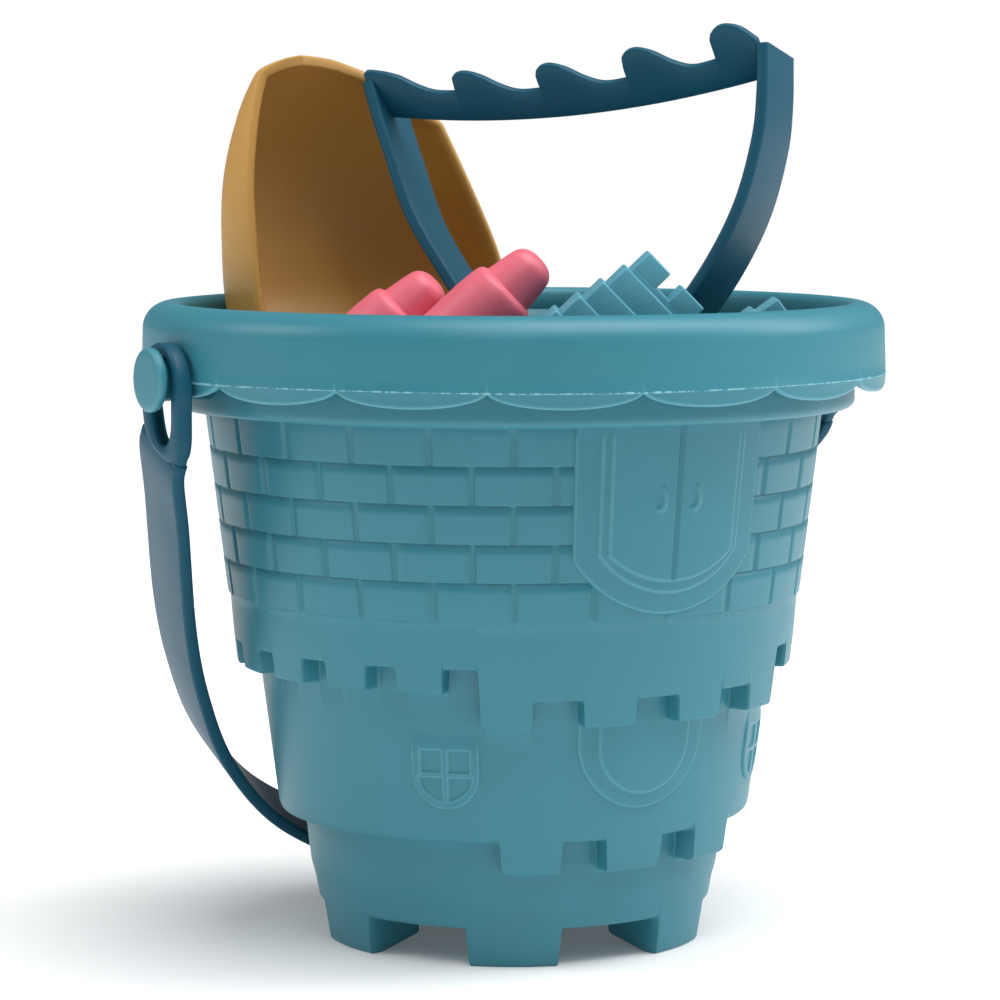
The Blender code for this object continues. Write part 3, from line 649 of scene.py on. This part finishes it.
def make_handle():
    """The strap bent into a U and its two eyes, leaning back on the studs."""
    right = np.array(STRAP_PATH)
    points = np.vstack([right * (-1, -1), (right * (1, -1))[-2::-1]])
    strap = swept(smooth_curve(points, 220), rounded_bar(STRAP_WIDTH, STRAP_THICKNESS, 0.9))
    grids = [(hang(strap), True, True)]
    for side in (-1, 1):
        border = oval_ring(side, 12.3, 12.9, 0.68, 4.4, 0.9)
        plate = oval_ring(side, 11.3, 17.0, 0.5, 3.2, 0.75)
        grids += [(hang(np.concatenate([ring, ring[:1]])), True, False) for ring in (border, plate)]
    return piece("handle_strap", grids, "handle", PETROL)


# Tools

RAKE_PATH = ((-54, -5), (-50.5, -14), (-46.5, -23), (-38.5, -40), (-26, -57), (-12, -74), (0, -84), (8, -88),
             (15, -85), (25, -77), (36, -65), (45, -51), (51.5, -36), (54.8, -20), (55.2, -8), (54.4, 4.1))
RAKE_PLACE, RAKE_TURNS = (11.6, -3, 224), (("X", -11.3), ("Z", -24))
BAR_LEFT, BAR_RIGHT, BAR_STEPS = -53.5, 53.5, 260
TOOTH_PITCH, TOOTH_HEIGHT, BAR_HEIGHT, BAR_SAG = 23.7, 9.2, 8, 5.0
# One tooth's outline, as shares of its pitch and its height
WAVE = ((0.13, 0.10), (0.03, 0.48), (0.05, 0.86), (0.18, 1.0), (0.36, 0.78), (0.56, 0.32), (0.74, 0.04), (0.92, 0.0))


def make_rake():
    """A bent band, a toothed plate of curling waves across its mouth, and a round stem."""
    section = rounded_bar(20.0, 3.2, 0.9)
    band = swept(smooth_curve(RAKE_PATH, 200), section)
    band[..., 1] += 10
    top = [(BAR_LEFT, 0.0), (BAR_LEFT - 1, 0.9), (BAR_LEFT + 3, 1.0)]
    top += [(BAR_LEFT + TOOTH_PITCH * x, y) for x, y in WAVE[4:]]
    top += [(BAR_LEFT + TOOTH_PITCH * (k + x), y) for k in range(1, 5) for x, y in WAVE]
    top = smooth_curve([point for point in top if point[0] < 51.5] + [(BAR_RIGHT, 0.3)], BAR_STEPS)
    growth = 0.74 + 0.26 * top[:, 0] / BAR_RIGHT
    top = np.stack([top[:, 0], BAR_HEIGHT + TOOTH_HEIGHT * top[:, 1] * growth], axis=1)
    along = np.linspace(BAR_LEFT, BAR_RIGHT, BAR_STEPS)
    low = np.stack([along, 0 * along], axis=1)
    ring = rounded_bar(2.0, 3.2, 0.9)
    reach = (top - low) / 2
    place = (top + low)[:, None] / 2 + reach[:, None] * np.clip(ring[None, :, :1], -1, 1)
    plate = np.concatenate([place, np.broadcast_to(ring[None, :, 1:], (*place.shape[:2], 1))], axis=-1)
    lean = Matrix.Rotation(radians(-5), 3, "Y") @ Matrix.Rotation(radians(128), 3, "X")
    plate = plate @ np.array(lean).T + (0, 8, -7.5)
    plate[..., 2] -= BAR_SAG * (1 - (plate[..., 0] / BAR_RIGHT) ** 2)
    stem = revolved([(0, -84), (6.0, -86), (5.5, -100), (6.2, -115), (6.8, -128), (6.2, -140), (5.4, -152), (4, -154),
                     (0, -154)], 48) + (8, 10, 0)
    grids = [(standing(grid, RAKE_PLACE, RAKE_TURNS), True, capped)
             for grid, capped in ((band, True), (plate, True), (stem, False))]
    return piece("rake_tool", grids, "rake", PETROL, 50)


# The scoop's lips, as (distance down from the tip, across)
LEFT_LIP = ((0, -54.5), (0.8, -58.5), (2.9, -63.2), (5, -64.6), (15.4, -66.4), (31, -67.3), (46.5, -66.4),
            (64.2, -64.3), (86, -58))
RIGHT_LIP = ((0, -54.5), (0.8, -48), (2.9, -41.8), (5, -37), (15.4, -21.4), (19.2, -18.1), (50.4, -4.4), (64.2, -3),
             (86, -10))


def make_shovel():
    """A deep scoop between two lips, left(d) and right(d), at the distance d down from its tip. Across it, for t from
    -90 to 90 degrees, a point lies h (1 + sin(t)^0.75) along the mouth from the left lip and D cos(t)^0.65 behind it,
    where h is half the mouth's width and D = 36 (1 - exp(-(d + 1) / 24)). The mouth is turned 38 degrees."""
    turn = np.radians(38)
    down = BLADE_LENGTH * np.linspace(0, 1, 57)[:, None] ** 1.7
    left, right = (np.interp(down, *smooth_curve(lip, 400).T) for lip in (LEFT_LIP, RIGHT_LIP))
    half = (right - left) / 2 / np.cos(turn)
    shrink = 1 - 0.28 * (np.maximum(0, down - 60) / 26) ** 2
    depth = BLADE_DEPTH * (1 - np.exp(-(down + 1) / 24)) * shrink
    t = np.linspace(-1, 1, 61)[None, :] * np.pi / 2
    along = half * (1 + np.sign(t) * np.abs(np.sin(t)) ** 0.75)
    back = depth * np.maximum(0, np.cos(t)) ** 0.65
    near = 6.0 + 0.14 * (64 - down)
    blade = np.stack([left + along * np.cos(turn) - back * np.sin(turn),
                      near + along * np.sin(turn) + back * np.cos(turn), BLADE_TOP - down + 0 * t], axis=-1)
    root = blade[-1].mean(axis=0)
    closing = np.stack([blade[-1] * (1 - k) + root * k for k in (0.1, 0.4, 0.7, 1.0)])
    closing[..., 2] -= np.array([0.6, 1.0, 1.0, 1.0])[:, None]
    blade = np.concatenate([blade, closing])
    grip = revolved([(0, -86), (6.5, -87), (6.3, -98), (6.2, -106), (7.0, -116), (7.4, -122), (7.0, -128),
                     (6.0, -132), (4, -134), (0, -134)], 48) + (root[0], root[1], BLADE_TOP)
    made = piece("shovel_scoop", [(standing(blade, (0, 0, 0), ()), False, False)], "shovel", OCHRE)
    wall = made.modifiers.new("wall", "SOLIDIFY")
    wall.thickness, wall.offset = 2.6 * MM, 0
    fine = made.modifiers.new("rounding", "SUBSURF")
    fine.levels = fine.render_levels = 1
    handle = piece("shovel_grip", [(standing(grip, (0, 0, 0), ()), True, False)], "shovel", OCHRE)
    return made, handle


def make_tower(name, place, roll):
    """A round tower with a stepped shoulder and a blunt tip, open below."""
    tip = smooth_curve([(0.0, -0.7), (2.2, -0.9), (4.2, -1.7), (5.6, -3.3), (6.2, -5.6), (6.8, -9.6), (7.1, -11.8)], 24)
    shoulder = smooth_curve([(7.5, -12.1), (8.3, -12.5), (8.9, -13.5), (9.2, -15.2), (9.35, -17.2)], 12)
    wall = [(9.5, -20), (9.6, -40), (9.8, -61.2), (9.6, -61.9), (8.6, -61.9), (8.3, -61.4), (8.0, -20), (6.4, -13.5),
            (4.2, -4), (0, -2.2)]
    cone = standing(revolved(np.vstack([tip, shoulder, wall])), place, (("Y", roll),))
    return piece(name, [(cone, True, False)], name.replace("_cone", ""), PINK, 40)


def level_square(half, corner, z):
    """A level square with rounded corners, at the height z."""
    square = rounded_bar(2 * half, 2 * half, corner, 8)
    return np.column_stack([square, np.full(len(square), z)])


def closed_stack(rows):
    """The rows with a flat face at each end, drawn in to the middle."""
    return np.stack([rows[0] * (0, 0, 1)] + rows + [rows[-1] * (0, 0, 1)])


def make_castle(name, place, turns):
    """Square tiers, each standing outside the one above, with four merlons round the top; open below."""
    rows = []
    for tier in range(CASTLE_TIERS):
        half = 9.5 + 1.5 * tier
        top = -TIER_HEIGHT * tier - (4.6 if tier == 0 else 0)
        low = -TIER_HEIGHT * (tier + 1)
        edge = ((0.5, top), (0.15, top - 0.15), (0.0, top - 0.5), (0.0, low + 0.05))
        rows += [level_square(half - inset, 0.7, z) for inset, z in edge]
    base = -TIER_HEIGHT * CASTLE_TIERS
    rows += [level_square(half, 0.7, z) for half, z in ((14.6, base), (10.5, base), (10.5, -14.0))]
    grids = [(closed_stack(rows), True, False)]
    merlon = closed_stack([level_square(3.7 - inset, 0.5, z)
                           for inset, z in ((0.5, 0.0), (0.15, -0.15), (0.0, -0.5), (0.0, -5.2))])
    grids += [(merlon + (x, y, 0), True, False) for x in (-5.8, 5.8) for y in (-5.8, 5.8)]
    grids = [(standing(grid, place, turns), closed, capped) for grid, closed, capped in grids]
    return piece(name, grids, name.replace("_walls", ""), SKY, 60)


bucket_pieces = [make_wall(), make_rim(), make_flash(), *make_studs()]
bucket_pieces += [
    relief("gate", 0.0, 27.2, 88.6, 137.5, 77.0, lambda z: band_wall(z) + 0.1, gate_height),
    relief("arch", 0.0, 18.8, 39.6, 72.0, 62.9, tier2_wall, arch_height),
    relief("window_left", -45.4, 9.6, 40.3, 64.0, 62.6, tier2_wall, window_height, 0.25),
    relief("window_right", 45.4, 9.6, 40.3, 64.0, 62.6, tier2_wall, window_height, 0.25),
]
scoop, grip = make_shovel()
tools = [make_rake(), scoop, make_handle(),
         make_tower("tower_mould_front_cone", (7.2, -30, 175.0), 47),
         make_tower("tower_mould_rear_cone", (-18.9, -15, 169.0), 47),
         make_castle("castle_mould_front_walls", (39.2, -53, 170.3), (("Y", 46),)),
         make_castle("castle_mould_rear_walls", (73.5, 12, 155.6), (("Y", 54),))]
for made in bucket_pieces + tools + [grip]:
    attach(made, made["body"])
    del made["body"]
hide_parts("bucket")
for made, node in zip(tools, ("rake", "shovel", "handle", "tower_mould_front", "tower_mould_rear",
                              "castle_mould_front", "castle_mould_rear")):
    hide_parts(node)


# Floor, light and camera

def make_floor():
    """A plain pale floor."""
    mesh = bpy.data.meshes.new("floor")
    mesh.from_pydata([(-6, -6, 0), (6, -6, 0), (6, 6, 0), (-6, 6, 0)], [], [(0, 1, 2, 3)])
    floor = bpy.data.objects.new("floor", mesh)
    bpy.context.scene.collection.objects.link(floor)
    material = bpy.data.materials.new("pale floor")
    material.use_nodes = True
    shader = material.node_tree.nodes["Principled BSDF"]
    shader.inputs["Base Color"].default_value = (0.93, 0.93, 0.93, 1)
    shader.inputs["Roughness"].default_value = 0.9
    shader.inputs["Specular IOR Level"].default_value = 0.1
    shader.inputs["Emission Color"].default_value = (1, 1, 1, 1)
    shader.inputs["Emission Strength"].default_value = 0.08
    mesh.materials.append(material)


def softbox(name, place, aim, size, power):
    """A white rectangular light at its place, turned towards its aim."""
    lamp = bpy.data.lights.new(name, "AREA")
    lamp.shape, lamp.size, lamp.size_y = "RECTANGLE", size[0], size[1]
    lamp.energy = power
    made = bpy.data.objects.new(name, lamp)
    made.location = place
    made.rotation_euler = (Vector(aim) - Vector(place)).to_track_quat("-Z", "Y").to_euler()
    bpy.context.scene.collection.objects.link(made)


make_floor()
world = bpy.data.worlds.new("studio")
bpy.context.scene.world = world
world.use_nodes = True
nodes, links = world.node_tree.nodes, world.node_tree.links
sky = nodes["Background"]
sky.inputs["Color"].default_value = (1, 1, 1, 1)
path = nodes.new("ShaderNodeLightPath")
bright = nodes.new("ShaderNodeMapRange")
bright.inputs["To Min"].default_value = 0.19
bright.inputs["To Max"].default_value = 1.0
links.new(path.outputs["Is Camera Ray"], bright.inputs["Value"])
links.new(bright.outputs["Result"], sky.inputs["Strength"])
above = bpy.data.lights.new("above", "SUN")
above.energy, above.angle = 2.7, radians(50)
lamp = bpy.data.objects.new("above", above)
lamp.rotation_euler = (radians(12), radians(6), 0)
bpy.context.scene.collection.objects.link(lamp)
softbox("right", (0.85, -0.35, 0.8), (0, 0, 0.13), (0.6, 0.8), 7)
softbox("front", (-0.5, -0.8, 1.0), (0, 0, 0.14), (0.6, 0.6), 2.0)
softbox("left", (-0.85, 0.4, 0.75), (0, 0, 0.14), (0.4, 0.5), 3)

view = bpy.data.cameras.new("view")
view.lens, view.sensor_width, view.shift_x = 138.0, 36.0, -0.0137
camera = bpy.data.objects.new("view", view)
camera.location = (-0.49125, -0.85087, 0.2041)
camera.rotation_euler = (radians(90 - 5.38), 0, radians(-30))
bpy.context.scene.collection.objects.link(camera)
bpy.context.scene.camera = camera
bpy.context.scene.view_settings.view_transform = "Standard"
